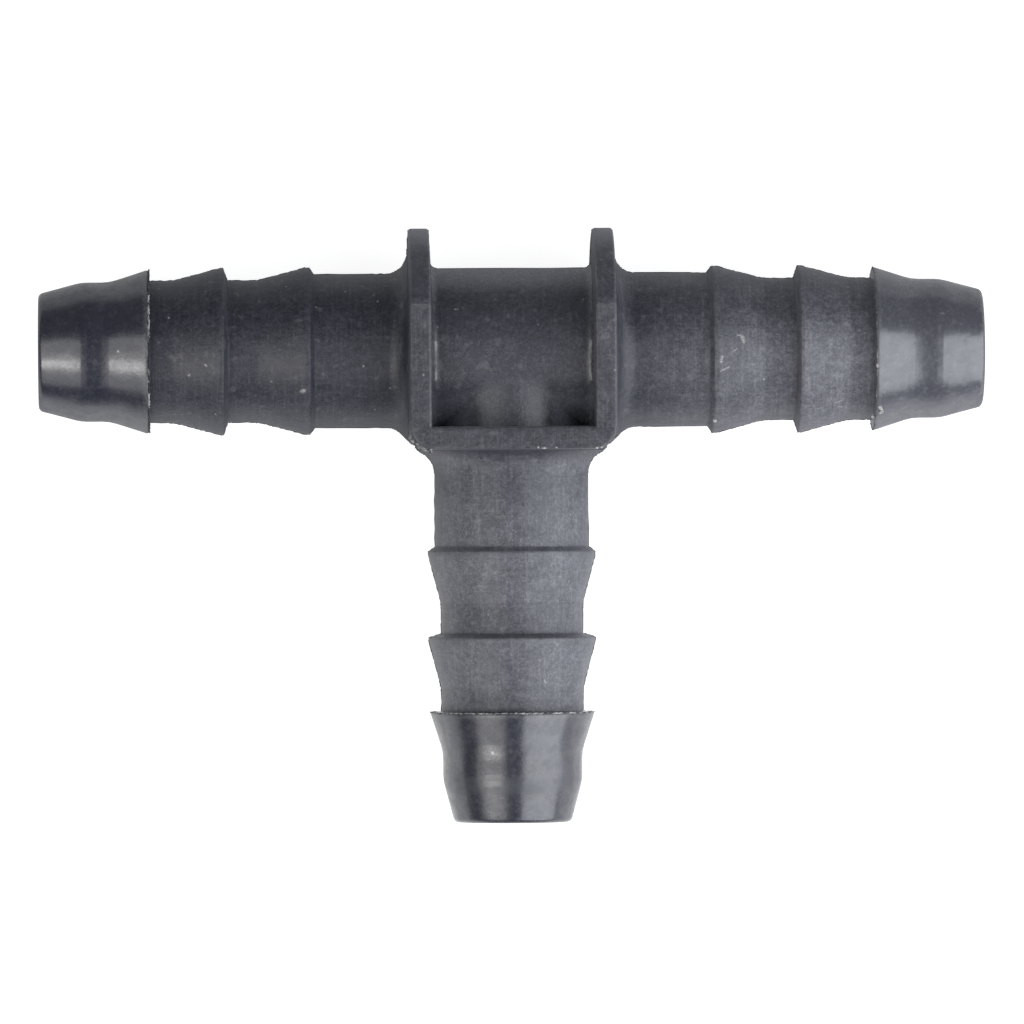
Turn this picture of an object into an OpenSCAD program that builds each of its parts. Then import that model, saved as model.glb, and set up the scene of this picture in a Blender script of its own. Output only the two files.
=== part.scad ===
// Barbed hose tee: one moulding, divided into its features.
// The run lies along X, the branch points along -Y and the mould opens along Z.
// The axes of the three legs cross at the origin.

/* [Legs] */
// Reach of each leg, from the crossing of the axes to its tip
leg_reach = 40; // [36:0.5:60]
// Diameter of the smooth sleeve next to each hose stop
sleeve_d = 13; // [12.4:0.1:13.8]
// Diameter of the water passage
bore_d = 8.5; // [6:0.1:9]
// Radius of the fillet between a run leg and its hose stop
run_fillet = 1.8; // [0.4:0.1:2.1]
// Radius of the fillet between the branch and its hose stop
branch_fillet = 2; // [0.4:0.1:2.2]

/* [Barbs] */
// Diameter over the inner and the middle barb
barb_d = 14.1; // [13.8:0.1:15.4]
// Diameter of the necks in front of them
neck_d = 12; // [11:0.1:12.3]
// Distance from the back of the inner barb to the back of the middle barb
inner_pitch = 7.35; // [6.3:0.05:8.5]
// Distance from the back of the middle barb to the back of the nose barb
middle_pitch = 6.55; // [5.6:0.05:8]
// Length of the inner barb's ramp
inner_ramp = 3.95; // [3:0.05:5]
// Length of the middle barb's ramp
middle_ramp = 3.95; // [3:0.05:4.8]
// Length of the inner barb's bevelled back
inner_back = 0.4; // [0.1:0.05:0.8]
// Length of the middle barb's bevelled back
middle_back = 0.35; // [0.1:0.05:0.8]
// Width of the round land on the inner barb
inner_land = 0.4; // [0.2:0.05:0.8]
// Width of the round land on the middle barb
middle_land = 0.3; // [0.2:0.05:0.8]

/* [Noses] */
// Length from the back of the nose barb to the tip
nose_len = 9.45; // [8.4:0.05:11]
// Diameter over the nose barb
nose_barb_d = 13.8; // [13:0.1:14.2]
// Diameter of the waist of the nose
waist_d = 11.8; // [11:0.1:12.3]
// Diameter at which the taper ends at the tip
tip_d = 9.9; // [9.8:0.1:10.8]
// Length of the nose barb's bevelled back
nose_back = 0.2; // [0.1:0.05:0.6]
// Width of the round land on the nose barb
nose_land = 0.15; // [0.15:0.05:0.6]
// Length of the nose barb's ramp
nose_ramp = 3.1; // [2.4:0.1:3.8]
// Length of the taper from the waist to the tip
tip_taper = 3.6; // [2.6:0.1:4.2]
// Rounding of the tip's outer edge
tip_round = 0.5; // [0.1:0.05:0.6]
// Chamfer at the mouth of the water passage
mouth_chamfer = 0.15; // [0.05:0.05:0.3]

/* [Hose stops] */
// Clear width between the two run stops
stop_gap = 13.65; // [13:0.05:18]
// Distance from the run's axis to the near face of the branch stop
branch_stop_at = 6.5; // [6:0.05:8]
// Thickness of the stops beside the tubes
stop_t = 1.95; // [1.4:0.05:2.6]
// Amount by which the stops get thinner towards their rim
stop_taper = 0.25; // [0.05:0.05:0.4]
// Radius of the rounded tops of the run stops, about the run's axis
stop_top_r = 10.35; // [9.8:0.05:13]
// Size of the stops from their front face to their back face
stop_depth = 19.2; // [17.6:0.2:20]
// Rounding of the outer edges of the stops
stop_edge_r = 0.25; // [0.1:0.05:0.35]

/* [Centre] */
// Diameter of the run tube between its stops
centre_d = 13.9; // [13:0.1:14.4]
// Radius of the fillet where the centre tube meets the run stops
inner_fillet = 0.6; // [0.2:0.1:1]

/* [Hidden] */
$fn = 96;

body_colour = "#35373d";
stop_colour = "#3b3d42";
tail_colour = "#404248";
nose_colour = "#2c2e34";

sleeve_r = sleeve_d / 2;
bore_r = bore_d / 2;
barb_r = barb_d / 2;
neck_r = neck_d / 2;
nose_barb_r = nose_barb_d / 2;
waist_r = waist_d / 2;
tip_r = tip_d / 2;
centre_r = centre_d / 2;

// The rounding of the tip leaves a flat ring round the mouth
tip_edge_r = min(tip_round, tip_r - bore_r - mouth_chamfer);

// Radius that blends a ramp into its neck, and radius that breaks a barb's crest
ramp_blend = 4;
crest_break = 0.06;
// Thickness that a fillet keeps at its feathered edge
lip = 0.04;
// Largest turn between two points of an arc, in degrees
arc_step = 9;

function fillet_foot(r, fillet) = r + fillet - sqrt(pow(fillet, 2) - pow(fillet - lip, 2));

// Distances along a leg, from the crossing of the axes
run_root = stop_gap / 2 + stop_t;
branch_root = branch_stop_at + stop_t;
nose_at = leg_reach - nose_len;
middle_at = nose_at - middle_pitch;
inner_at = middle_at - inner_pitch;

// Radius that each fillet reaches on its stop
run_foot_r = fillet_foot(sleeve_r, run_fillet);
branch_foot_r = fillet_foot(sleeve_r, branch_fillet);
inner_foot_r = fillet_foot(centre_r, inner_fillet);
// The stops keep their full thickness out to here, past every fillet
stop_flat_r = max(run_foot_r, branch_foot_r, inner_foot_r) + 2 * lip;
half_depth = stop_depth / 2;
// Thickness at the front and back faces, and at the rounded top
face_t = stop_t - stop_taper * (half_depth - stop_flat_r) / (stop_top_r - stop_flat_r);
top_t = stop_t - stop_taper;

// The neck of the branch fits between the run stops
branch_neck_r = min(sleeve_r, stop_gap / 2);

// At each corner of the frame one 45-degree plane touches both fillets and the corner's rounding
root_two = sqrt(2);
corner_face = max(
    (stop_gap / 2 + branch_stop_at) / root_two + stop_t,
    (run_root + sleeve_r) / root_two + run_fillet * (root_two - 1),
    (branch_root + sleeve_r) / root_two + branch_fillet * (root_two - 1)
);

function unit(v) = v / norm(v);

// Points of the arc that rounds corner c, given as [x, y, radius], between its neighbours
function corner_arc(before, c, after) =
    let (
        here = [c.x, c.y],
        a = unit([before.x, before.y] - here),
        b = unit([after.x, after.y] - here),
        half = acos(a * b) / 2,
        centre = here + unit(a + b) * c.z / sin(half),
        from = here + a * c.z / tan(half) - centre,
        to = here + b * c.z / tan(half) - centre,
        start = atan2(from.y, from.x),
        turn = (atan2(to.y, to.x) - start + 540) % 360 - 180,
        steps = max(2, ceil(abs(turn) / arc_step))
    )
    [for (k = [0:steps]) centre + c.z * [cos(start + turn * k / steps), sin(start + turn * k / steps)]];

// Outline through corners given as [x, y, radius], each rounded to its radius
function outline(corners) =
    let (last = len(corners) - 1)
    [for (i = [0:last])
        let (c = corners[i])
        each c.z == 0
            ? [[c.x, c.y]]
            : corner_arc(corners[i == 0 ? last : i - 1], c, corners[i == last ? 0 : i + 1])];

// Points of a fillet's arc as [x, y, 0], from its foot on the face at root to the side at x = r
function fillet_arc(r, root, fillet) =
    let (
        sweep = asin((fillet - lip) / fillet),
        steps = ceil(sweep / arc_step)
    )
    [for (k = [0:steps])
        let (a = 180 + sweep * (1 - k / steps))
        [r + fillet + fillet * cos(a), root + fillet + fillet * sin(a), 0]];

// Corners of one barb as [radius, distance, rounding]: bevelled back, land and ramp
function barb(at, crest_r, back, land, ramp, front_r) = [
    [crest_r, at + back, crest_break],
    [crest_r, at + back + land, crest_break],
    [front_r, at + back + land + ramp, ramp_blend]
];

// Turn a leg that is drawn along +Z into its place
module along_right() {
    rotate([0, 90, 0]) children();
}

module along_left() {
    rotate([0, -90, 0]) children();
}

module along_branch() {
    rotate([90, 0, 0]) children();
}

// Barbed tail, from the hose stop to the back of the nose
module tail(root, fillet) {
    rotate_extrude()
    polygon(outline(concat(
        [
            [bore_r, root, 0],
            [fillet_foot(sleeve_r, fillet), root, 0]
        ],
        fillet_arc(sleeve_r, root, fillet),
        [[sleeve_r, inner_at, 0]],
        barb(inner_at, barb_r, inner_back, inner_land, inner_ramp, neck_r),
        [[neck_r, middle_at, 0]],
        barb(middle_at, barb_r, middle_back, middle_land, middle_ramp, neck_r),
        [
            [neck_r, nose_at, 0],
            [bore_r, nose_at, 0]
        ]
    )));
}

// Nose: the last barb, a waist and the taper that leads the hose on
module nose() {
    rotate_extrude()
    polygon(outline(concat(
        [
            [bore_r, nose_at, 0],
            [neck_r, nose_at, 0]
        ],
        barb(nose_at, nose_barb_r, nose_back, nose_land, nose_ramp, waist_r),
        [
            [waist_r, leg_reach - tip_taper, ramp_blend],
            [tip_r, leg_reach, tip_edge_r],
            [bore_r + mouth_chamfer, leg_reach, 0],
            [bore_r, leg_reach - mouth_chamfer, 0]
        ]
    )));
}

// Cross-section of a stop: thickness along X from 0 to stop_t, depth along Y
module stop_section() {
    middle = stop_t / 2;
    polygon(outline([
        [stop_t, -stop_flat_r, 0],
        [stop_t, stop_flat_r, 0],
        [middle + face_t / 2, half_depth, stop_edge_r],
        [middle - face_t / 2, half_depth, stop_edge_r],
        [0, stop_flat_r, 0],
        [0, -stop_flat_r, 0],
        [middle - face_t / 2, -half_depth, stop_edge_r],
        [middle + face_t / 2, -half_depth, stop_edge_r]
    ]));
}

// Round flange along +X from 0 to stop_t, with the section's taper and edges
module stop_disc() {
    middle = stop_t / 2;
    along_right()
    rotate_extrude()
    polygon(outline([
        [0, 0, 0],
        [stop_flat_r, 0, 0],
        [stop_top_r, middle - top_t / 2, stop_edge_r],
        [stop_top_r, middle + top_t / 2, stop_edge_r],
        [stop_flat_r, stop_t, 0],
        [0, stop_t, 0]
    ]));
}

// Straight bar of the section that stands from one Y to another
module stop_bar(from, to) {
    translate([0, to, 0])
    rotate([90, 0, 0])
    linear_extrude(to - from)
    stop_section();
}

// Stop on the +X side of the run: a bar below the axis, and a rounded top above it
module run_stop() {
    translate([stop_gap / 2, 0, 0])
    difference() {
        union() {
            stop_bar(-branch_stop_at, 0);
            intersection() {
                stop_bar(0, stop_top_r + 1);
                stop_disc();
            }
        }
        along_right() translate([0, 0, -1]) cylinder(r = bore_r, h = stop_t + 2);
    }
}

// What lies outside the 45-degree plane at the +X corner, between the two legs
module corner_cut() {
    run_side = (run_root - sleeve_r) / root_two;
    branch_side = (branch_root - sleeve_r) / root_two;
    rotate([0, 0, -45])
    translate([corner_face, -branch_side, -half_depth])
    cube([stop_t, branch_side + run_side, stop_depth]);
}

// Rounded corner of the frame on the +X side, filled out under the feet of the two fillets
module right_corner() {
    translate([stop_gap / 2, -branch_stop_at, 0])
    rotate([0, 0, -90])
    rotate_extrude(angle = 90)
    stop_section();
    difference() {
        intersection() {
            translate([stop_gap / 2, -branch_root, -half_depth]) cube([stop_t, stop_t, stop_depth]);
            union() {
                along_right() cylinder(r = run_foot_r, h = run_root);
                along_branch() cylinder(r = branch_foot_r, h = branch_root);
            }
        }
        corner_cut();
    }
}

module run_tail() {
    difference() {
        along_right() tail(run_root, run_fillet);
        corner_cut();
    }
}

// Run tube along Z between the stops, with a small fillet against each
module centre_tube() {
    end = stop_gap / 2;
    for (side = [0, 1])
        mirror([0, 0, side])
        rotate_extrude()
        polygon(outline(concat(
            [
                [0, 0, 0],
                [0, -end, 0],
                [inner_foot_r, -end, 0]
            ],
            fillet_arc(centre_r, -end, inner_fillet),
            [[centre_r, 0, 0]]
        )));
}

// Run tube between the stops, with the neck of the branch growing out of it
module centre_body() {
    color(body_colour)
    difference() {
        union() {
            intersection() {
                along_right() centre_tube();
                translate([-stop_gap, -branch_stop_at, -stop_gap]) cube(2 * stop_gap);
            }
            along_branch() cylinder(r = branch_neck_r, h = branch_stop_at);
        }
        along_right() translate([0, 0, -stop_gap]) cylinder(r = bore_r, h = 2 * stop_gap);
        along_branch() cylinder(r = bore_r, h = branch_stop_at + 1);
    }
}

module left_stop() {
    color(stop_colour) mirror([1, 0, 0]) run_stop();
}

module right_stop() {
    color(stop_colour) run_stop();
}

// Stop on the branch, which carries both run stops and turns the corners to them
module branch_stop() {
    color(stop_colour)
    difference() {
        union() {
            translate([-stop_gap / 2, -branch_stop_at, 0])
            rotate([0, 0, -90])
            stop_bar(0, stop_gap);
            right_corner();
            mirror([1, 0, 0]) right_corner();
        }
        along_branch() cylinder(r = bore_r, h = branch_root + 1);
    }
}

module left_tail() {
    color(tail_colour) mirror([1, 0, 0]) run_tail();
}

module right_tail() {
    color(tail_colour) run_tail();
}

module branch_tail() {
    color(tail_colour)
    difference() {
        along_branch() tail(branch_root, branch_fillet);
        corner_cut();
        mirror([1, 0, 0]) corner_cut();
    }
}

module left_nose() {
    color(nose_colour) along_left() nose();
}

module right_nose() {
    color(nose_colour) along_right() nose();
}

module branch_nose() {
    color(nose_colour) along_branch() nose();
}

centre_body();
left_stop();
right_stop();
branch_stop();
left_tail();
right_tail();
branch_tail();
left_nose();
right_nose();
branch_nose();
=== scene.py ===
"""Looks for the barbed tee: finishes of the moulding, its flash, the floor, lamps and camera."""
import math
import random
from collections import namedtuple

import bpy
from mathutils import Euler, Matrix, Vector


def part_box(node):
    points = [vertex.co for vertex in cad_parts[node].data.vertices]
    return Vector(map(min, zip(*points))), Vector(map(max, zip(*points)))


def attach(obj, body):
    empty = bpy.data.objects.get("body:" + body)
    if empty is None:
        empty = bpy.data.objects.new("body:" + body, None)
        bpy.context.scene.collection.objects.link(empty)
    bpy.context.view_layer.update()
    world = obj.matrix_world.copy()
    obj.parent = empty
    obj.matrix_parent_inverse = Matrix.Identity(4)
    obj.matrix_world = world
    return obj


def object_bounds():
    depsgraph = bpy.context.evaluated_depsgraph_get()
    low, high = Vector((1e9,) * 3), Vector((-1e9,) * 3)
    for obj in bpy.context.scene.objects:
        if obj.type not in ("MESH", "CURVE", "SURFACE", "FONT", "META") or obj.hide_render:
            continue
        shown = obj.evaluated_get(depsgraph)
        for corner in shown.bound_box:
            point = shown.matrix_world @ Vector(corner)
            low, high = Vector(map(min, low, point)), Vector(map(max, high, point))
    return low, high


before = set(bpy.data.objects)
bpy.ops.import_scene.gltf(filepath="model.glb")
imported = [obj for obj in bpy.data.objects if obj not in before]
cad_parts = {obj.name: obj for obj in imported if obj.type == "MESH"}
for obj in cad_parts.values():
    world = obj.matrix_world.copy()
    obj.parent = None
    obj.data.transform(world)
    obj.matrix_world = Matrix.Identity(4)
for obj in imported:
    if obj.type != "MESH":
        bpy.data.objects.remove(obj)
cad_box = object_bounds()
MM = 0.001

STOP_NODES = ("left_stop", "right_stop", "branch_stop")
TAIL_NODES = ("left_tail", "right_tail", "branch_tail")
MATTE_NODES = ("centre_body",) + STOP_NODES + TAIL_NODES

# Sizes that the frame gives, in millimetres from the crossing of the axes
nose_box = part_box("right_nose")
stop_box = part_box("right_stop")
NOSE_AT = nose_box[0][0] / MM
NOSE_CREST_R = nose_box[1][2] / MM
STOP_TOP_R = stop_box[1][1] / MM
FRONT_Z = stop_box[1][2] / MM
RUN_ROOT = stop_box[1][0] / MM
RUN_INSIDE = stop_box[0][0] / MM
BRANCH_ROOT = -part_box("branch_tail")[1][1] / MM

# Sizes that no box gives, in millimetres
BARB_R = 7.05
BORE_R = 4.25
BRANCH_INSIDE = 6.5
INNER_BARB_AT = 16.65
INNER_RAMP_END = 21.4
MIDDLE_BARB_AT = 24.0
MIDDLE_RAMP_END = 28.6

# Legs as the direction of each from the crossing
LEGS = {
    "left": Vector((-1, 0, 0)),
    "right": Vector((1, 0, 0)),
    "branch": Vector((0, -1, 0)),
}


# ---------------------------------------------------------------- node helpers

# The point on the tee in millimetres, and its three parts
Spot = namedtuple("Spot", "point x y z")


def new_material(name):
    material = bpy.data.materials.new(name)
    material.use_nodes = True
    tree = material.node_tree
    tree.nodes.clear()
    output = tree.nodes.new("ShaderNodeOutputMaterial")
    shader = tree.nodes.new("ShaderNodeBsdfPrincipled")
    tree.links.new(shader.outputs["BSDF"], output.inputs["Surface"])
    return material, tree, shader


def add_node(tree, kind, values=(), **settings):
    """A node with its settings, and its inputs linked or set by number or name."""
    node = tree.nodes.new("ShaderNode" + kind)
    for key, value in settings.items():
        setattr(node, key, value)
    for key, value in dict(values).items():
        if isinstance(value, bpy.types.NodeSocket):
            tree.links.new(value, node.inputs[key])
        else:
            node.inputs[key].default_value = value
    return node


def maths(tree, operation, first, second=0.0, clamp=False):
    node = add_node(tree, "Math", {0: first, 1: second}, operation=operation, use_clamp=clamp)
    return node.outputs[0]


def plus(tree, first, second):
    return maths(tree, "ADD", first, second)


def times(tree, first, second, clamp=False):
    return maths(tree, "MULTIPLY", first, second, clamp)


def absolute(tree, value):
    return maths(tree, "ABSOLUTE", value)


def largest(tree, values):
    result = values[0]
    for value in values[1:]:
        result = maths(tree, "MAXIMUM", result, value)
    return result


def weighted(tree, *parts):
    """The sum of values that each come with their weight."""
    total = times(tree, *parts[0])
    for value, weight in parts[1:]:
        total = plus(tree, total, times(tree, value, weight))
    return total


def span(tree, value, low, high, out_low=0.0, out_high=1.0):
    """The value brought from low..high to out_low..out_high, eased and held at both ends."""
    node = add_node(
        tree, "MapRange",
        {"Value": value, "From Min": low, "From Max": high, "To Min": out_low, "To Max": out_high},
        interpolation_type="SMOOTHSTEP",
    )
    return node.outputs["Result"]


def between(tree, value, rise, fall):
    """One inside a stretch and nothing outside it. Rise and fall each run towards the stretch."""
    return times(tree, span(tree, value, *rise), span(tree, value, *fall))


def blend_colour(tree, factor, first, second):
    node = tree.nodes.new("ShaderNodeMix")
    node.data_type = "RGBA"
    sockets = ((node.inputs[0], factor), (node.inputs[6], first), (node.inputs[7], second))
    for socket, value in sockets:
        if isinstance(value, bpy.types.NodeSocket):
            tree.links.new(value, socket)
        else:
            socket.default_value = (*value, 1)
    return node.outputs[2]


def spot_in_mm(tree):
    point = add_node(tree, "TexCoord").outputs["Object"]
    scale = {0: point, "Scale": 1 / MM}
    scaled = add_node(tree, "VectorMath", scale, operation="SCALE").outputs[0]
    parts = add_node(tree, "SeparateXYZ", {0: scaled}).outputs
    return Spot(scaled, *parts[:3])


def noise(tree, point, scale, detail, roughness, stretch=(1, 1, 1), shift=(0, 0, 0)):
    """Noise with its scale in lumps per millimetre, which may be drawn out along an axis."""
    place = {"Vector": point, "Location": shift, "Scale": stretch}
    moved = add_node(tree, "Mapping", place, vector_type="POINT").outputs[0]
    values = {"Vector": moved, "Scale": scale, "Detail": detail, "Roughness": roughness}
    return add_node(tree, "TexNoise", values).outputs["Fac"]


def radius_of(tree, across, up):
    """Distance from a leg's axis."""
    return maths(tree, "SQRT", plus(tree, times(tree, across, across), times(tree, up, up)))


def scratch(tree, point, start, end, width):
    """One along a straight scratch between two points, falling to nothing at its width."""
    start, end = Vector(start), Vector(end)
    run = end - start

    def vector_maths(operation, values):
        return add_node(tree, "VectorMath", values, operation=operation).outputs

    offset = vector_maths("SUBTRACT", {0: point, 1: start})[0]
    along = vector_maths("DOT_PRODUCT", {0: offset, 1: run / run.dot(run)})["Value"]
    along = times(tree, along, 1.0, clamp=True)
    foot = vector_maths("SCALE", {0: run, "Scale": along})[0]
    gap = vector_maths("DISTANCE", {0: offset, 1: foot})["Value"]
    return span(tree, gap, width, width * 0.1)


def eased_normal(tree, reach, samples):
    """The normal as if every edge were rounded over the reach, which is in metres."""
    return add_node(tree, "Bevel", {"Radius": reach}, samples=samples).outputs[0]


def surface(tree, shader, base, rough, height, strength, depth, normal=None):
    """Link a finish's colour, its roughness and a relief whose depth is in millimetres."""
    relief = {"Height": height, "Strength": strength, "Distance": depth * MM}
    if normal:
        relief["Normal"] = normal
    bump = add_node(tree, "Bump", relief)
    tree.links.new(base, shader.inputs["Base Color"])
    tree.links.new(rough, shader.inputs["Roughness"])
    tree.links.new(bump.outputs["Normal"], shader.inputs["Normal"])


def set_values(shader, values):
    for name, value in values.items():
        shader.inputs[name].default_value = value


# ---------------------------------------------------------------- finishes

DARK_PLASTIC = (0.0125, 0.0135, 0.025)
PALE_PLASTIC = (0.0225, 0.0235, 0.038)
DARK_GLOSS = (0.008, 0.0095, 0.024)
PALE_GLOSS = (0.014, 0.016, 0.034)
# Pale colour of the bloom, which also serves as painted light
BLOOM_AND_PAINTED_LIGHT = (0.157, 0.160, 0.190)
DARK_SPECKLE = (0.100, 0.103, 0.117)
# Speckle where the bloom and painted light lie
PALE_SPECKLE = (0.28, 0.283, 0.305)
GLOSS_SPECKLE = (0.20, 0.205, 0.225)
# Pale colour of painted light in the pocket and on the tops of the stops
PAINTED_LIGHT = (0.175, 0.180, 0.215)
WORN_MATTE = (0.16, 0.165, 0.18)
WORN_GLOSS = (0.13, 0.13, 0.14)
SCUFFED_GLOSS = (0.06, 0.062, 0.072)
# Pale colour of scuffs, blotches and specks, and of painted glints
MATTE_MARK_AND_GLINT = (0.50, 0.49, 0.48)
# Pale colour of marks on the noses, and of a painted highlight
NOSE_MARK_AND_GLINT = (0.55, 0.56, 0.58)
FLASH_GRAIN = (0.14, 0.14, 0.145)

SPECKLED = 0.42  # share of speckle on the tube and the legs
STOP_SPECKLED = 0.80  # and on the flats of the stops
EDGE_REACH = 0.3  # how far an edge is eased in shading, in millimetres
SADDLE_REACH = 1.5  # and where the branch leaves the tube


def on_front(x, y, radius):
    """A point on the front of a run leg, from its place along and across it and the radius."""
    return (x, y, math.sqrt(radius ** 2 - y ** 2))


# Scuffs and dents, and two painted glints, as two ends and a half width
SCUFFS_AND_PAINTED_GLINTS = (
    (on_front(17.50, -1.95, 7.03), on_front(18.25, -1.60, 6.84), 0.11),
    (on_front(17.55, -1.15, 7.02), on_front(17.62, -0.75, 7.00), 0.19),
    (on_front(19.35, 0.95, 6.55), on_front(19.50, 0.55, 6.51), 0.24),
    (on_front(19.00, 1.10, 6.64), on_front(19.30, 1.05, 6.56), 0.12),
    (on_front(18.60, -0.30, 6.74), on_front(18.90, -0.05, 6.66), 0.07),
    (on_front(27.30, -4.65, 6.35), on_front(28.04, -4.40, 6.17), 0.10),
    (on_front(27.60, -4.95, 6.27), on_front(27.90, -5.00, 6.20), 0.10),
    (on_front(-17.60, -3.38, 7.00), on_front(-17.78, -3.48, 6.98), 0.27),
    (on_front(-25.90, -1.20, 6.72), on_front(-25.80, -1.30, 6.74), 0.12),
    (on_front(-27.20, -2.00, 6.38), on_front(-27.30, -2.10, 6.36), 0.12),
    (on_front(-4.85, 3.38, 6.95), on_front(-4.60, 3.40, 6.95), 0.10),
    # Painted glints along the fillets between the tube and the stops
    (on_front(-6.50, 0.60, 7.00), on_front(-6.50, -2.50, 7.00), 0.20),
    (on_front(6.60, 0.60, 7.05), on_front(6.60, -2.50, 7.05), 0.24),
    ((2.55, -27.95, 5.62), (2.70, -28.15, 5.52), 0.09),
    ((-2.20, -22.30, 5.62), (-2.15, -22.40, 5.62), 0.09),
)
NOSE_MARKS_AND_GLINT = (
    (on_front(-33.25, 0.0, 6.13), on_front(-33.20, -0.05, 6.14), 0.13),
    (on_front(36.25, 2.90, 5.90), on_front(36.65, 2.85, 5.88), 0.08),
    # A painted highlight on the branch's nose, where the small lamp's glint falls
    ((-1.85, -34.0, 5.60), (-1.80, -34.1, 5.58), 0.20),
)


def scuffs_and_glints(tree, point, marks_and_glints):
    return largest(tree, [scratch(tree, point, *mark) for mark in marks_and_glints])


def off_joints(tree, reach, values_and_planes):
    """The reach, or less near a flat joint between nodes, so that no joint shades as an edge."""
    for value, plane in values_and_planes:
        gap = absolute(tree, maths(tree, "SUBTRACT", value, plane))
        reach = maths(tree, "MINIMUM", reach, gap)
    return reach


def tail_joints(tree, spot):
    out = absolute(tree, spot.x)
    joints = (out, RUN_ROOT), (out, NOSE_AT), (spot.y, -BRANCH_ROOT), (spot.y, -NOSE_AT)
    return off_joints(tree, EDGE_REACH, joints)


def centre_joints(tree, spot):
    reach = span(tree, spot.y, -0.5, -2.0, EDGE_REACH, SADDLE_REACH)
    joints = (absolute(tree, spot.x), RUN_INSIDE), (spot.y, -BRANCH_INSIDE)
    return off_joints(tree, reach, joints)


def stop_joints(tree, spot):
    between_stops = maths(tree, "LESS_THAN", absolute(tree, spot.x), RUN_INSIDE + 0.02)
    inside = times(tree, between_stops, EDGE_REACH)
    return largest(tree, [inside, off_joints(tree, EDGE_REACH, ((spot.y, -BRANCH_INSIDE),))])


def unmarked(tree, spot):
    """For a finish that has no painted light, or no wear."""
    return 0.0


def pocket_painted_light(tree, spot):
    """Painted light, a pale colour in the two corners of the pocket, on the branch's neck, on the
    lower half of the tube's front and on the tube's far side.
    """
    out = absolute(tree, spot.x)
    corners = times(tree, span(tree, out, 2.8, 4.2), span(tree, spot.y, -2.6, -6.0, 0.0, 2.5))
    corners = times(tree, corners, span(tree, spot.x, -2, 2, 0.85, 1.0))
    neck = times(tree, span(tree, out, 4.2, 2.0), span(tree, spot.y, -1.2, -2.8, 0.0, 0.45))
    front = span(tree, spot.y, 1.8, 0.0, 0.0, 0.22)
    far_side = span(tree, spot.y, 4.6, 6.6, 0.0, 1.5)
    return largest(tree, [corners, neck, front, far_side])


def stop_painted_light(tree, spot):
    """Painted light on the round tops of the stops."""
    return span(tree, spot.y, 8.0, 9.9, 0.0, 2.2)


def barb_crest(tree, across, up):
    return span(tree, radius_of(tree, across, up), BARB_R - 0.05, BARB_R - 0.005)


def run_barb_wear(tree, spot):
    """Wear on the crests of the two barbs of a run leg."""
    crest = barb_crest(tree, spot.y, spot.z)
    crest = times(tree, crest, span(tree, spot.x, -5, 10, 0.2, 0.7))
    return times(tree, crest, span(tree, absolute(tree, spot.x), 14, 15))


def branch_barb_wear(tree, spot):
    """Wear on the crests of the two barbs of the branch."""
    return times(tree, barb_crest(tree, spot.x, spot.z), span(tree, spot.y, -14, -15))


def stop_wear(tree, spot):
    """Wear along the outer edges of the stops, where the faces turn."""
    def edge(value, limit):
        return between(tree, value, (limit - 0.24, limit - 0.12), (limit - 0.004, limit - 0.03))

    front = edge(absolute(tree, spot.z), FRONT_Z)
    top = edge(radius_of(tree, spot.y, spot.z), STOP_TOP_R)
    return largest(tree, [front, times(tree, top, span(tree, spot.y, 3, 4))])


def on_necks(tree, spot):
    """The two necks of each leg, which hold less bloom and painted light than the ramps of the
    barbs: painted shade.
    """
    along = largest(tree, [absolute(tree, spot.x), times(tree, spot.y, -1.0)])
    past_inner, past_middle = (
        span(tree, along, ramp_end - 0.15, ramp_end + 0.1)
        for ramp_end in (INNER_RAMP_END, MIDDLE_RAMP_END))
    before_middle = span(tree, along, MIDDLE_BARB_AT + 0.3, MIDDLE_BARB_AT + 0.1)
    return largest(tree, [times(tree, past_inner, before_middle), past_middle])


def bloom_and_painted_light_on(tree, spot, mottle):
    """Grey bloom from handling, partly, and painted light: more on the right leg and the branch
    than on the left leg, on the branch's flanks, low on the run legs just past the stops and on
    the tops of the sleeves and tube, with painted shade on the top of the right leg and on the
    necks.
    """
    out = absolute(tree, spot.x)
    bloom_and_light = largest(tree, [
        times(tree, span(tree, spot.x, 2, 28, 0.0, 0.95), span(tree, spot.y, 5, 1, 0.72, 1.0)),
        span(tree, spot.y, -8.3, -9.3, 0.0, 0.50),
        span(tree, spot.y, -8, -15, 0.0, 0.85),
    ])
    # Painted light on the flanks of the branch, more on its left
    right_side = span(tree, spot.x, 2, 5.5, 0.0, 0.5)
    left_side = span(tree, spot.x, -2, -5.5, 0.0, 0.85)
    sides = largest(tree, [right_side, left_side])
    sides = times(tree, sides, span(tree, spot.y, -8.3, -10))
    # Painted light low on the run legs just past the stops, and on the tops of the sleeves and
    # tube
    under = times(tree, span(tree, out, 8.8, 10.5), span(tree, spot.y, -2.5, -5.0, 0.0, 0.14))
    sleeve = span(tree, out, INNER_BARB_AT + 0.15, INNER_BARB_AT - 0.45)
    sleeve_top = times(tree, span(tree, spot.y, 4.0, 6.2, 0.0, 0.25), sleeve)
    bloom_and_light = plus(tree, bloom_and_light, largest(tree, [sides, under]))
    bloom_and_light = plus(tree, bloom_and_light, sleeve_top)
    # Painted shade: less of it on the necks
    bloom_and_light = times(tree, bloom_and_light, span(tree, on_necks(tree, spot), 0.0, 1.0, 1.0, 0.80))
    return times(tree, bloom_and_light, span(tree, mottle, 0.25, 0.75, 0.75, 1.05))


def pale_specks(tree, point):
    """Small scattered specks, of which about half are left out."""
    cells = add_node(tree, "TexVoronoi", {"Vector": point, "Scale": 0.8}).outputs
    draw = add_node(tree, "SeparateXYZ", {0: cells["Color"]}).outputs[0]
    dot = span(tree, cells["Distance"], 0.095, 0.045)
    return times(tree, dot, span(tree, draw, 0.5, 0.9, 0.0, 0.5))


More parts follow.
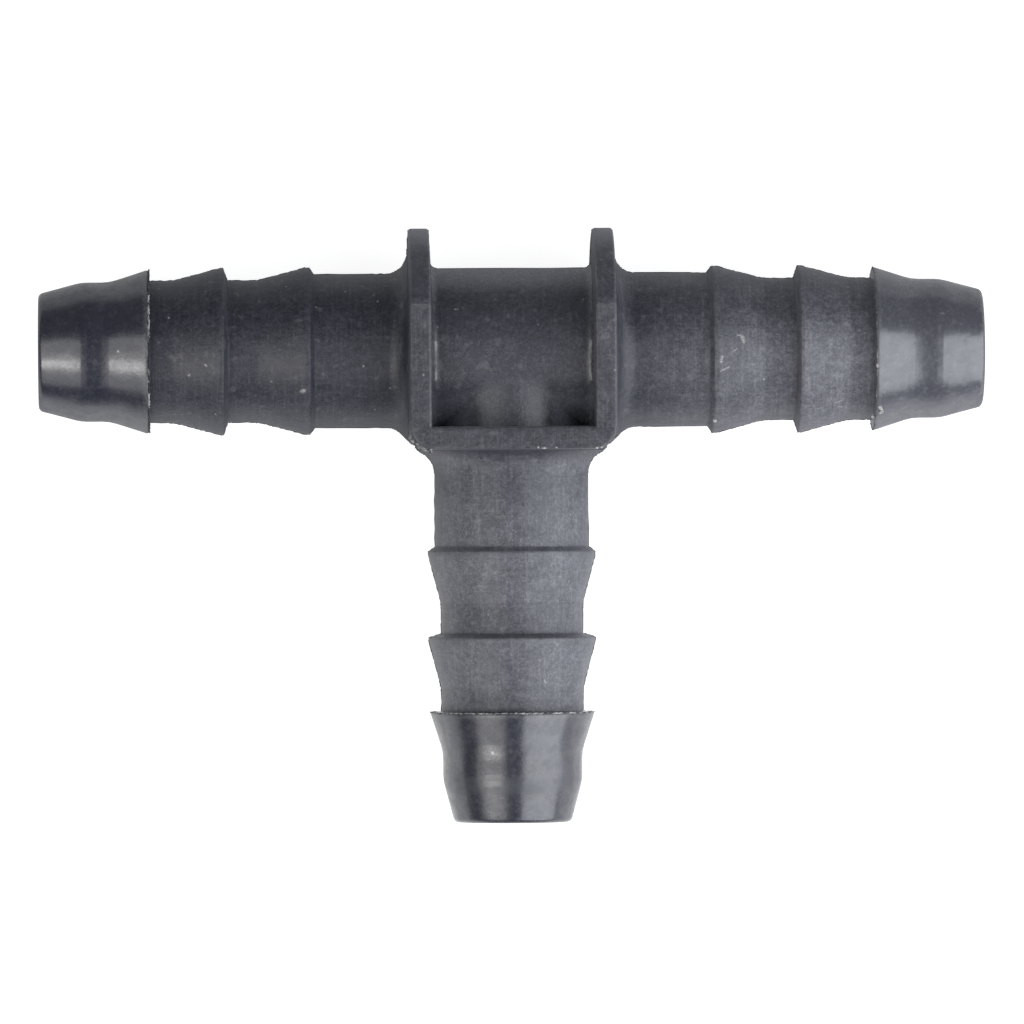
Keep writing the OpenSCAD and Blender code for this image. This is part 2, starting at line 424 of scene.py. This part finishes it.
def moulded_plastic(name, wear, joints, painted_light_tone=0.0, gloss=0.0, speckled=SPECKLED, painted_light=unmarked):
    """Black plastic from a spark-eroded mould: a fine matte grain, a bloom that is partly painted
    light, any other painted light or shade the finish is given, and worn edges.
    """
    material, tree, shader = new_material(name)
    spot = spot_in_mm(tree)
    point = spot.point
    mottle = noise(tree, point, 0.55, 5, 0.6)
    cloud = noise(tree, point, 1.2, 3, 0.6, shift=(5, 5, 1))
    fine = noise(tree, point, 2.6, 4, 0.7, shift=(7, 3, 1))
    grain = noise(tree, point, 6.0, 3, 0.65, shift=(2, 9, 5))
    turned = noise(tree, point, 5.0, 2, 0.6, stretch=(1, 0.05, 0.05), shift=(3, 3, 3))
    drawn = noise(tree, point, 5.0, 2, 0.6, stretch=(0.05, 1, 0.05), shift=(9, 1, 6))

    bloom_and_light = bloom_and_painted_light_on(tree, spot, mottle)
    base = blend_colour(tree, span(tree, mottle, 0.3, 0.7),
                        tinted(DARK_PLASTIC, painted_light_tone), tinted(PALE_PLASTIC, painted_light_tone))
    # Bloom and painted light: a paler colour where they lie
    base = blend_colour(tree, times(tree, bloom_and_light, 0.55), base, BLOOM_AND_PAINTED_LIGHT)

    speckle = span(tree, fine, 0.35, 0.75, 0.0, 0.45)
    for value, low, high, share in ((grain, 0.4, 0.75, 0.55), (cloud, 0.45, 0.7, 0.12),
                                    (turned, 0.48, 0.72, 0.38), (drawn, 0.48, 0.72, 0.22)):
        speckle = plus(tree, speckle, span(tree, value, low, high, 0.0, share))
    share = span(tree, bloom_and_light, 0.0, 1.0, speckled, speckled + 0.16)
    speckle = times(tree, speckle, share, clamp=True)
    # Painted shade: the tops of the stops keep only the tube's share of speckle, darker than their
    # flats
    painted_shade_on_tops = span(tree, spot.y, 3.7, 4.3, 1.0, min(1.0, SPECKLED / speckled))
    speckle = times(tree, speckle, painted_shade_on_tops)
    # Speckle is paler where the bloom and painted light lie
    speckle_colour = blend_colour(tree, bloom_and_light, DARK_SPECKLE, PALE_SPECKLE)
    base = blend_colour(tree, speckle, base, speckle_colour)
    # Painted light: a pale colour where the finish is given it
    base = blend_colour(tree, times(tree, painted_light(tree, spot), 0.4), base, PAINTED_LIGHT)

    lumps = weighted(tree, (fine, 0.3), (cloud, 0.3), (grain, 0.4))
    shade = {0: base, "Scale": span(tree, lumps, 0.36, 0.64, 0.82, 1.20)}
    base = add_node(tree, "VectorMath", shade, operation="SCALE").outputs[0]
    worn = times(tree, wear(tree, spot), span(tree, fine, 0.38, 0.62, 0.25, 1.0))
    base = blend_colour(tree, times(tree, worn, 0.4), base, WORN_MATTE)

    blotches = span(tree, noise(tree, point, 1.25, 1, 0.5, shift=(4, 1, 8)), 0.62, 0.78)
    # Pale scuffs, and painted glints on the fillets by the stops
    marks_and_glints = times(tree, scuffs_and_glints(tree, point, SCUFFS_AND_PAINTED_GLINTS), span(tree, grain, 0.35, 0.6, 0.4, 1.0))
    light = largest(tree, [
        times(tree, blotches, 0.09), times(tree, marks_and_glints, 0.75), pale_specks(tree, point)])
    base = blend_colour(tree, light, base, MATTE_MARK_AND_GLINT)

    rough = span(tree, fine, 0.3, 0.7, 0.34 - gloss, 0.44 - gloss)
    rough = maths(tree, "SUBTRACT", rough, times(tree, worn, 0.06))
    height = weighted(tree, (grain, 1.0), (fine, 1.6), (mottle, 1.5), (turned, 0.4))
    normal = eased_normal(tree, times(tree, joints(tree, spot), MM), samples=4)
    surface(tree, shader, base, rough, height, 0.7, 0.03, normal)
    set_values(shader, {
        "IOR": 1.5,
        "Specular IOR Level": 0.6,
        "Sheen Weight": 0.12,
        "Sheen Roughness": 0.35,
        "Sheen Tint": (0.92, 0.95, 1.0, 1),
    })
    return material


def tinted(colour, painted_light_tone):
    """A plastic's colour, made paler by the same amount in each channel, as painted light."""
    return tuple(part + painted_light_tone for part in colour)


def polished_plastic(name, on_run):
    """Black plastic from a turned and polished sliding core, with faint rings round the leg."""
    material, tree, shader = new_material(name)
    spot = spot_in_mm(tree)
    point = spot.point
    round_leg = (1, 0.06, 0.06) if on_run else (0.06, 1, 0.06)
    down_leg = (0.12, 1, 1) if on_run else (1, 0.12, 1)
    mottle = noise(tree, point, 0.8, 4, 0.55, shift=(3, 6, 2))
    fine = noise(tree, point, 4.5, 3, 0.6, shift=(1, 5, 9))
    rings = noise(tree, point, 3.0, 2, 0.5, stretch=round_leg)
    streaks = noise(tree, point, 2.2, 3, 0.6, stretch=down_leg, shift=(5, 2, 4))
    haze = noise(tree, point, 2.4, 4, 0.7, shift=(2, 2, 7))
    scuff = span(tree, noise(tree, point, 1.6, 4, 0.7, shift=(8, 4, 3)), 0.52, 0.70)
    patches = noise(tree, point, 0.9, 3, 0.7, shift=(1, 1, 4))

    # A veil of bloom, partly painted light, lies on the right nose, and a little on the branch's
    on_branch = times(tree, span(tree, spot.y, -20, -32), 0.12)
    veil_and_painted_light = largest(tree, [span(tree, spot.x, 10, 30), on_branch])
    radius = radius_of(tree, spot.y if on_run else spot.x, spot.z)
    crest = span(tree, radius, NOSE_CREST_R - 0.12, NOSE_CREST_R - 0.01)
    crest = times(tree, crest, span(tree, fine, 0.4, 0.6, 0.2, 1.0))
    specks = times(tree, span(tree, haze, 0.5, 0.72, 0.0, 0.5),
                   span(tree, veil_and_painted_light, 0.0, 1.0, 0.15, 1.0))
    base = blend_colour(tree, span(tree, mottle, 0.3, 0.7), DARK_GLOSS, PALE_GLOSS)
    base = blend_colour(tree, times(tree, veil_and_painted_light, 0.45), base, BLOOM_AND_PAINTED_LIGHT)
    base = blend_colour(tree, times(tree, crest, 0.5), base, WORN_GLOSS)
    base = blend_colour(tree, times(tree, scuff, 0.35), base, SCUFFED_GLOSS)
    base = blend_colour(tree, specks, base, GLOSS_SPECKLE)
    # Pale marks, and a painted highlight on the branch's nose
    base = blend_colour(tree, times(tree, scuffs_and_glints(tree, point, NOSE_MARKS_AND_GLINT), 0.8), base, NOSE_MARK_AND_GLINT)

    rough = span(tree, haze, 0.3, 0.7, 0.22, 0.31)
    if not on_run:
        taper = between(tree, spot.y, (-35.9, -36.4), (-37.8, -37.2))
        rough = plus(tree, rough, times(tree, taper, 0.12))
    rough = plus(tree, rough, times(tree, scuff, 0.08))
    rough = plus(tree, rough, times(tree, crest, 0.15))
    height = weighted(
        tree, (rings, 0.04), (streaks, 0.2), (mottle, 3.2), (haze, 1.0), (fine, 0.2))

    # The waist is eased more than the rest, and the branch's runs out into its taper
    along = absolute(tree, spot.x if on_run else spot.y)
    waist_end = (36.0, 34.8) if on_run else (38.6, 37.2)
    waist = between(tree, along, (32.4, 33.6), waist_end)
    reach = span(tree, waist, 0.0, 1.0, 0.4 * MM, 1.4 * MM)
    surface(tree, shader, base, rough, height, 0.5, 0.02, eased_normal(tree, reach, samples=8))

    low_side = span(tree, spot.y, 2.5, -3.0, 1.0, 0.75 if on_run else 1.0)
    coat = times(tree, span(tree, patches, 0.35, 0.65, 0.55, 1.0), low_side)
    tree.links.new(coat, shader.inputs["Coat Weight"])
    set_values(shader, {
        "IOR": 1.5,
        "Specular IOR Level": 1.0,
        "Coat Roughness": 0.20,
        "Coat IOR": 1.6,
    })
    return material


def left_flash_zone(tree, y):
    """Where the fin of the left nose is torn most: above the middle, and again low down."""
    upper = between(tree, y, (0.7, 1.3), (5.0, 4.4))
    lower = between(tree, y, (-3.3, -3.7), (-5.0, -4.7))
    return span(tree, largest(tree, [upper, lower]), 0.0, 1.0, -0.08, 0.07)


def flash_plastic(name, pale_from, dark=(0.022, 0.023, 0.027), pale=(0.55, 0.54, 0.53),
                  zone=None):
    """Thin flash, which is paler than the solid wall where it is torn and stretched."""
    material, tree, shader = new_material(name)
    spot = spot_in_mm(tree)
    patches = noise(tree, spot.point, 2.3, 3, 0.6, shift=(6, 6, 6))
    if zone:
        patches = plus(tree, patches, zone(tree, spot.y))
    fine = noise(tree, spot.point, 7.0, 3, 0.6)
    base = blend_colour(tree, span(tree, patches, *pale_from), dark, pale)
    base = blend_colour(tree, span(tree, fine, 0.45, 0.75, 0.0, 0.4), base, FLASH_GRAIN)
    rough = span(tree, fine, 0.3, 0.7, 0.35, 0.55)
    surface(tree, shader, base, rough, fine, 0.6, 0.02)
    return material


def parting_plastic():
    """The raised parting line: the wall's own plastic, rubbed a little paler in places."""
    material, tree, shader = new_material("parting_plastic")
    point = spot_in_mm(tree).point
    patches = noise(tree, point, 0.9, 4, 0.6, shift=(1, 8, 2))
    fine = noise(tree, point, 6.0, 3, 0.6)
    rubbed = span(tree, patches, 0.4, 0.7)
    base = blend_colour(tree, rubbed, (0.018, 0.019, 0.022), (0.07, 0.072, 0.08))
    rough = span(tree, fine, 0.3, 0.7, 0.38, 0.52)
    surface(tree, shader, base, rough, fine, 0.4, 0.01)
    return material


def dress_cad_nodes():
    """Give every node of the frame its finish."""
    run_matte = moulded_plastic("moulded_plastic_run", run_barb_wear, tail_joints)
    # The centre and the stops are the legs' plastic made paler all over, as painted light
    centre = moulded_plastic("moulded_plastic_centre_painted_light", unmarked, centre_joints,
                             painted_light_tone=0.024, gloss=0.13, painted_light=pocket_painted_light)
    branch_matte = moulded_plastic("moulded_plastic_branch", branch_barb_wear, tail_joints)
    stops = moulded_plastic("moulded_plastic_stops_painted_light", stop_wear, stop_joints,
                            painted_light_tone=0.018, speckled=STOP_SPECKLED, painted_light=stop_painted_light)
    run_gloss = polished_plastic("polished_plastic_run", on_run=True)
    branch_gloss = polished_plastic("polished_plastic_branch", on_run=False)
    finishes = {
        "centre_body": centre,
        "left_stop": stops,
        "right_stop": stops,
        "branch_stop": stops,
        "left_tail": run_matte,
        "right_tail": run_matte,
        "branch_tail": branch_matte,
        "left_nose": run_gloss,
        "right_nose": run_gloss,
        "branch_nose": branch_gloss,
    }
    for name, finish in finishes.items():
        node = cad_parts[name]
        node.data.materials.clear()
        node.data.materials.append(finish)


# ---------------------------------------------------------------- modelling helpers

def select_only(piece):
    bpy.ops.object.select_all(action="DESELECT")
    piece.select_set(True)
    bpy.context.view_layer.objects.active = piece


def edit_all():
    bpy.ops.object.mode_set(mode="EDIT")
    bpy.ops.mesh.select_all(action="SELECT")


def apply_place():
    bpy.ops.object.transform_apply(location=True, rotation=True, scale=True)


def roughen(reach, seed):
    """Move the selected vertices at random by up to the reach, in millimetres."""
    bpy.ops.transform.vertex_random(offset=reach * MM, uniform=1.0, normal=0.0, seed=seed)


def select_vertices(piece, choose):
    """In edit mode, select the vertices that the test picks."""
    bpy.ops.object.mode_set(mode="OBJECT")
    mesh = piece.data
    for item in (*mesh.polygons, *mesh.edges):
        item.select = False
    for vertex in mesh.vertices:
        vertex.select = bool(choose(vertex))
    bpy.ops.object.mode_set(mode="EDIT")
    bpy.ops.mesh.select_mode(type="VERT")


def settle(piece, name, material, smooth=True):
    """Put the piece's place into its mesh, name it, and let it ride on the tee."""
    select_only(piece)
    apply_place()
    if smooth:
        bpy.ops.object.shade_smooth_by_angle(angle=math.radians(40))
    piece.name = name
    piece.data.name = name
    piece.data.materials.clear()
    piece.data.materials.append(material)
    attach(piece, "root")


def thicken(piece, thickness):
    select_only(piece)
    wall = piece.modifiers.new("wall", "SOLIDIFY")
    wall.thickness = thickness
    wall.offset = 0
    bpy.ops.object.modifier_apply(modifier="wall")


# ---------------------------------------------------------------- flash and burrs

FIN_STEPS = 288  # vertices round a fin
FIN_WALL = 0.05
CREST_AT = NOSE_AT + 0.22  # just past the back of a nose barb


def flash_ring(name, leg, root, tip, ragged, gaps, seed, material):
    """A torn fin round a leg. Root and tip are each a radius and a place along it, in mm."""
    axis = LEGS[leg]
    (root_r, root_at), (tip_r, tip_at) = root, tip
    bpy.ops.object.select_all(action="DESELECT")
    bpy.ops.mesh.primitive_circle_add(
        vertices=FIN_STEPS, radius=root_r * MM, location=axis * root_at * MM,
        rotation=Vector((0, 0, 1)).rotation_difference(axis).to_euler(),
    )
    ring = bpy.context.object
    apply_place()
    edit_all()
    bpy.ops.mesh.extrude_region_move(
        TRANSFORM_OT_translate={"value": axis * (tip_at - root_at) * MM})
    grow = tip_r / root_r
    centre = axis * tip_at * MM
    bpy.ops.transform.resize(value=(grow, grow, grow), center_override=centre)

    # The rim is pulled back in stretches of its own length, so that the fin comes and goes
    draw = random.Random(seed)
    around = []
    while len(around) < FIN_STEPS:
        length = draw.randint(2, 11)
        depth = draw.choice((0, 0, 1, 1, 2, 3)) if draw.random() < gaps else 0
        around += [depth] * length

    def off_axis(vertex):
        return vertex.co - axis * vertex.co.dot(axis)

    for depth in (1, 2, 3):
        def in_stretch(vertex, depth=depth):
            out = off_axis(vertex)
            if out.length < (root_r + tip_r) * MM / 2:
                return False
            side = out.x if leg == "branch" else out.y
            turn = math.atan2(out.z, side) % math.tau
            return around[int(turn / math.tau * FIN_STEPS) % FIN_STEPS] == depth
        select_vertices(ring, in_stretch)
        pull = 1 - ragged * depth / tip_r
        bpy.ops.transform.resize(value=(pull, pull, pull), center_override=centre)
    select_vertices(ring, lambda vertex: off_axis(vertex).length > root_r * MM * 1.002)
    roughen(0.045, seed)
    bpy.ops.object.mode_set(mode="OBJECT")
    thicken(ring, FIN_WALL * MM)
    settle(ring, name, material, smooth=False)


# Torn crumbs: place and half sizes in millimetres, and the turn of the long side in degrees
BURRS = (
    ((31.02, -5.00, 4.67), (0.42, 0.15, 0.11), -48),
    ((31.20, -5.45, 4.30), (0.20, 0.13, 0.12), 25),
    ((30.55, -5.78, 3.30), (0.17, 0.15, 0.12), 20),
    ((30.74, -1.52, 6.74), (0.09, 0.20, 0.08), 5),
    ((17.15, -6.05, 3.62), (0.15, 0.20, 0.12), 10),
    ((2.03, -8.20, 9.50), (0.12, 0.19, 0.08), 0),
    ((2.45, -8.33, 9.45), (0.26, 0.08, 0.08), -8),
    ((3.55, -8.27, 9.48), (0.12, 0.11, 0.07), 0),
    ((6.97, -8.33, 9.44), (0.14, 0.12, 0.10), 0),
    ((7.36, -8.29, 9.42), (0.12, 0.08, 0.07), 10),
)


def burr(name, place, size, turn, seed, material):
    """A torn crumb of plastic that still hangs on an edge."""
    bpy.ops.object.select_all(action="DESELECT")
    bpy.ops.mesh.primitive_ico_sphere_add(subdivisions=3, radius=MM, location=Vector(place) * MM)
    crumb = bpy.context.object
    crumb.rotation_euler = (0, 0, math.radians(turn))
    crumb.scale = size
    apply_place()
    edit_all()
    roughen(min(size) * 0.45, seed)
    bpy.ops.mesh.vertices_smooth(factor=0.4, repeat=1)
    bpy.ops.object.mode_set(mode="OBJECT")
    settle(crumb, name, material)


def corner_flash_and_glint(material):
    """A pale sliver of flash round the front edge of the left corner of the frame, its paleness
    partly a painted highlight.
    """
    below_front, proud = 0.32, 0.12  # in millimetres
    inner = Vector((-RUN_INSIDE, -BRANCH_INSIDE, FRONT_Z - below_front)) * MM
    reach = (RUN_ROOT - RUN_INSIDE + proud) * MM
    start, sweep = math.radians(268), math.radians(66)
    bpy.ops.object.select_all(action="DESELECT")
    bpy.ops.mesh.primitive_plane_add(
        size=FIN_WALL * MM, rotation=(math.radians(90), 0, start),
        location=inner + Vector((math.cos(start), math.sin(start), 0)) * reach,
    )
    sliver = bpy.context.object
    sliver.scale = (5.5, 1.0, 1.0)
    apply_place()
    edit_all()
    bpy.ops.mesh.spin(steps=36, angle=sweep, center=inner, axis=(0, 0, 1))
    bpy.ops.mesh.select_all(action="SELECT")
    bpy.ops.mesh.remove_doubles(threshold=1e-7)
    bpy.ops.mesh.normals_make_consistent(inside=False)
    roughen(0.06, seed=5)
    bpy.ops.object.mode_set(mode="OBJECT")
    settle(sliver, "corner_flash_and_glint", material, smooth=False)


# ---------------------------------------------------------------- parting line

LINE_R = 0.05
LINE_TOP = 10.2  # the line ends just below the tops of the stops
TUBE_TOP = 6.5  # between the stops, just within the far side of the tube

# Flat joints between nodes, and how far from the leg's axis each one lies within the tee
RUN_JOINTS = ((RUN_INSIDE, 7.4), (RUN_ROOT, 8.25), (NOSE_AT, 9))
BRANCH_JOINTS = ((BRANCH_INSIDE, 9), (BRANCH_ROOT, 8.45), (NOSE_AT, 9))


def on_joint(lean, along, joints, across):
    """Whether an edge lies in a flat joint, from its lean and where its middle is on the leg."""
    level, close = 0.002, 0.01
    return abs(lean) < level and any(
        abs(along - face) < close and across < reach for face, reach in joints)


def hidden(first, last):
    """Whether the line leaves an edge of the cut out: within the tee, or atop the stops."""
    middle, lean = (first + last) / 2, first - last
    out, off = abs(middle.x), abs(middle.y)
    if on_joint(lean.x, out, RUN_JOINTS, off) or on_joint(lean.y, -middle.y, BRANCH_JOINTS, out):
        return True
    in_run = off < BORE_R + 0.1
    in_branch = out < BORE_R + 0.1 and middle.y < 0
    in_frame = out < RUN_INSIDE + 0.01 and -BRANCH_INSIDE - 0.01 < middle.y < TUBE_TOP
    return in_run or in_branch or in_frame or middle.y > LINE_TOP


def parting_line(material):
    """The fine raised line where the two mould halves met, round all that they form."""
    bpy.ops.object.select_all(action="DESELECT")
    for name in MATTE_NODES:
        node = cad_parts[name]
        copy = node.copy()
        copy.data = node.data.copy()
        bpy.context.scene.collection.objects.link(copy)
        copy.select_set(True)
        bpy.context.view_layer.objects.active = copy
    bpy.ops.object.join()
    line = bpy.context.object
    line.data.materials.clear()
    bpy.ops.object.mode_set(mode="EDIT")
    bpy.ops.mesh.select_mode(type="VERT")
    bpy.ops.mesh.select_all(action="SELECT")
    bpy.ops.mesh.remove_doubles(threshold=0.001 * MM)
    bpy.ops.mesh.bisect(
        plane_co=(0, 0, 0), plane_no=(0, 0, 1), clear_inner=True, clear_outer=True)

    bpy.ops.object.mode_set(mode="OBJECT")
    vertices = line.data.vertices
    for vertex in vertices:
        vertex.select = False
    for edge in line.data.edges:
        edge.select = hidden(*(vertices[i].co / MM for i in edge.vertices))
    bpy.ops.object.mode_set(mode="EDIT")
    bpy.ops.mesh.select_mode(type="EDGE")
    bpy.ops.mesh.delete(type="EDGE")
    bpy.ops.mesh.select_all(action="SELECT")
    bpy.ops.mesh.remove_doubles(threshold=0.02 * MM)
    bpy.ops.mesh.subdivide(number_cuts=3)
    roughen(0.03, seed=6)
    bpy.ops.object.mode_set(mode="OBJECT")

    bpy.ops.object.convert(target="CURVE")
    line = bpy.context.object
    line.data.bevel_depth = LINE_R * MM
    line.data.bevel_resolution = 1
    line.data.use_fill_caps = True
    bpy.ops.object.convert(target="MESH")
    line = bpy.context.object
    edit_all()
    bpy.ops.mesh.remove_doubles(threshold=0.001 * MM)
    bpy.ops.mesh.normals_make_consistent(inside=False)
    roughen(0.008, seed=8)
    bpy.ops.object.mode_set(mode="OBJECT")
    settle(line, "parting_line", material)


def trim():
    """Flash, burrs and the parting line."""
    flash = flash_plastic("flash_plastic", (0.45, 0.65), zone=left_flash_zone)
    faint = flash_plastic(
        "faint_flash_plastic", (0.50, 0.75), (0.055, 0.057, 0.066), (0.30, 0.30, 0.32))
    dusty = flash_plastic(
        "dusty_flash_plastic", (0.42, 0.62), (0.060, 0.062, 0.070), (0.48, 0.48, 0.49))
    torn = flash_plastic("torn_plastic", (0.05, 0.25))
    # Partly a painted highlight: the pale of the corner's flash
    corner = flash_plastic(
        "corner_glint_and_flash_plastic", (0.42, 0.70), (0.045, 0.046, 0.052), (0.42, 0.42, 0.43))

    flash_ring("left_nose_flash", "left", (6.78, CREST_AT), (6.99, NOSE_AT + 0.04),
               ragged=0.06, gaps=0.75, seed=11, material=flash)
    flash_ring("right_nose_flash", "right", (6.84, CREST_AT + 0.03), (6.95, NOSE_AT + 0.15),
               ragged=0.05, gaps=0.85, seed=23, material=faint)
    flash_ring("branch_nose_flash", "branch", (6.82, CREST_AT + 0.03), (6.96, NOSE_AT + 0.10),
               ragged=0.06, gaps=0.8, seed=31, material=dusty)
    for number, (place, size, turn) in enumerate(BURRS, 1):
        burr(f"burr_{number}", place, size, turn, seed=number + 2, material=torn)
    corner_flash_and_glint(corner)
    parting_line(parting_plastic())


# ---------------------------------------------------------------- studio

CAMERA_LENS = 414.6
CAMERA_DISTANCE = 1
CAMERA_AIM = Vector((0.05 * MM, -13.72 * MM, 0))
CAMERA_LEAN = math.radians(1.6)  # towards the left leg
CAMERA_TURN = math.radians(0.3)  # clockwise, as seen from behind it

FLOOR_GAP = 0.02  # keeps the back flats of the stops off the floor, in millimetres
FLOOR_COLOUR = (0.45, 0.45, 0.46, 1)
FLOOR_WHITE = 0.86
FLOOR_GLOW_IN_GLOSS = (0.04, 0.55)  # shares of it that gloss shows, elsewhere and by the branch's tip: a painted reflection

# Softboxes: place in metres, tilt about Y in degrees, width and length, radiance and colour
SOFTBOXES = {
    "left_softbox": ((-0.449, -0.40, 0.559), -35.5, (0.632, 1.32), 1.02, (1.0, 0.99, 0.98)),
    "left_lamp": ((-0.404, -0.26, 0.566), -35.5, (0.36, 0.20), 3.6, (1.0, 0.98, 0.96)),
    "right_softbox": ((0.509, -0.35, 0.373), 49.8, (0.9035, 1.16), 2.2, (0.935, 0.96, 1.0)),
}


def camera():
    """A long lens above the tee."""
    data = bpy.data.cameras.new("camera")
    data.sensor_width = 36
    data.lens = CAMERA_LENS
    data.clip_start = 0.05
    data.clip_end = 10
    view = bpy.data.objects.new("camera", data)
    bpy.context.scene.collection.objects.link(view)
    lean, turn = Euler((0, -CAMERA_LEAN, 0)), Euler((0, 0, -CAMERA_TURN))
    facing = lean.to_quaternion() @ turn.to_quaternion()
    view.rotation_mode = "QUATERNION"
    view.rotation_quaternion = facing
    view.location = CAMERA_AIM + facing @ Vector((0, 0, CAMERA_DISTANCE))
    bpy.context.scene.camera = view


def softbox(name, place, tilt, size, radiance, colour):
    """A rectangular softbox, with its length along Y."""
    data = bpy.data.lights.new(name, "AREA")
    data.shape = "RECTANGLE"
    data.size, data.size_y = size
    data.energy = radiance * size[0] * size[1] * math.pi
    data.color = colour
    lamp = bpy.data.objects.new(name, data)
    bpy.context.scene.collection.objects.link(lamp)
    lamp.location = place
    lamp.rotation_euler = (0, math.radians(tilt), 0)


def floor():
    """A white table top, which stays white to the camera. The plastic's reflections show only a
    share of it, more by the branch's tip, as a painted reflection.
    """
    bpy.ops.object.select_all(action="DESELECT")
    bpy.ops.mesh.primitive_plane_add(size=6, location=(0, 0, cad_box[0][2] - FLOOR_GAP * MM))
    ground = bpy.context.object
    ground.name = "floor"
    material, tree, shader = new_material("white_table")
    path = add_node(tree, "LightPath").outputs
    by_tip = between(tree, spot_in_mm(tree).y, (-4, -28), (-95, -55))
    glow_in_gloss = span(tree, by_tip, 0.0, 1.0, *FLOOR_GLOW_IN_GLOSS)
    seen = largest(tree, [path["Is Camera Ray"], path["Is Transmission Ray"],
                          times(tree, path["Is Glossy Ray"], glow_in_gloss)])
    tree.links.new(times(tree, seen, FLOOR_WHITE), shader.inputs["Emission Strength"])
    set_values(shader, {
        "Base Color": FLOOR_COLOUR,
        "Roughness": 0.9,
        "Emission Color": (1, 1, 1, 1),
    })
    ground.data.materials.append(material)


def studio():
    floor()
    for name, values in SOFTBOXES.items():
        softbox(name, *values)
    world = bpy.data.worlds.new("studio")
    bpy.context.scene.world = world
    world.use_nodes = True
    background = world.node_tree.nodes["Background"]
    set_values(background, {"Color": (0.95, 0.97, 1.0, 1), "Strength": 0.15})
    bpy.context.scene.view_settings.view_transform = "Standard"


camera()
dress_cad_nodes()
trim()
studio()
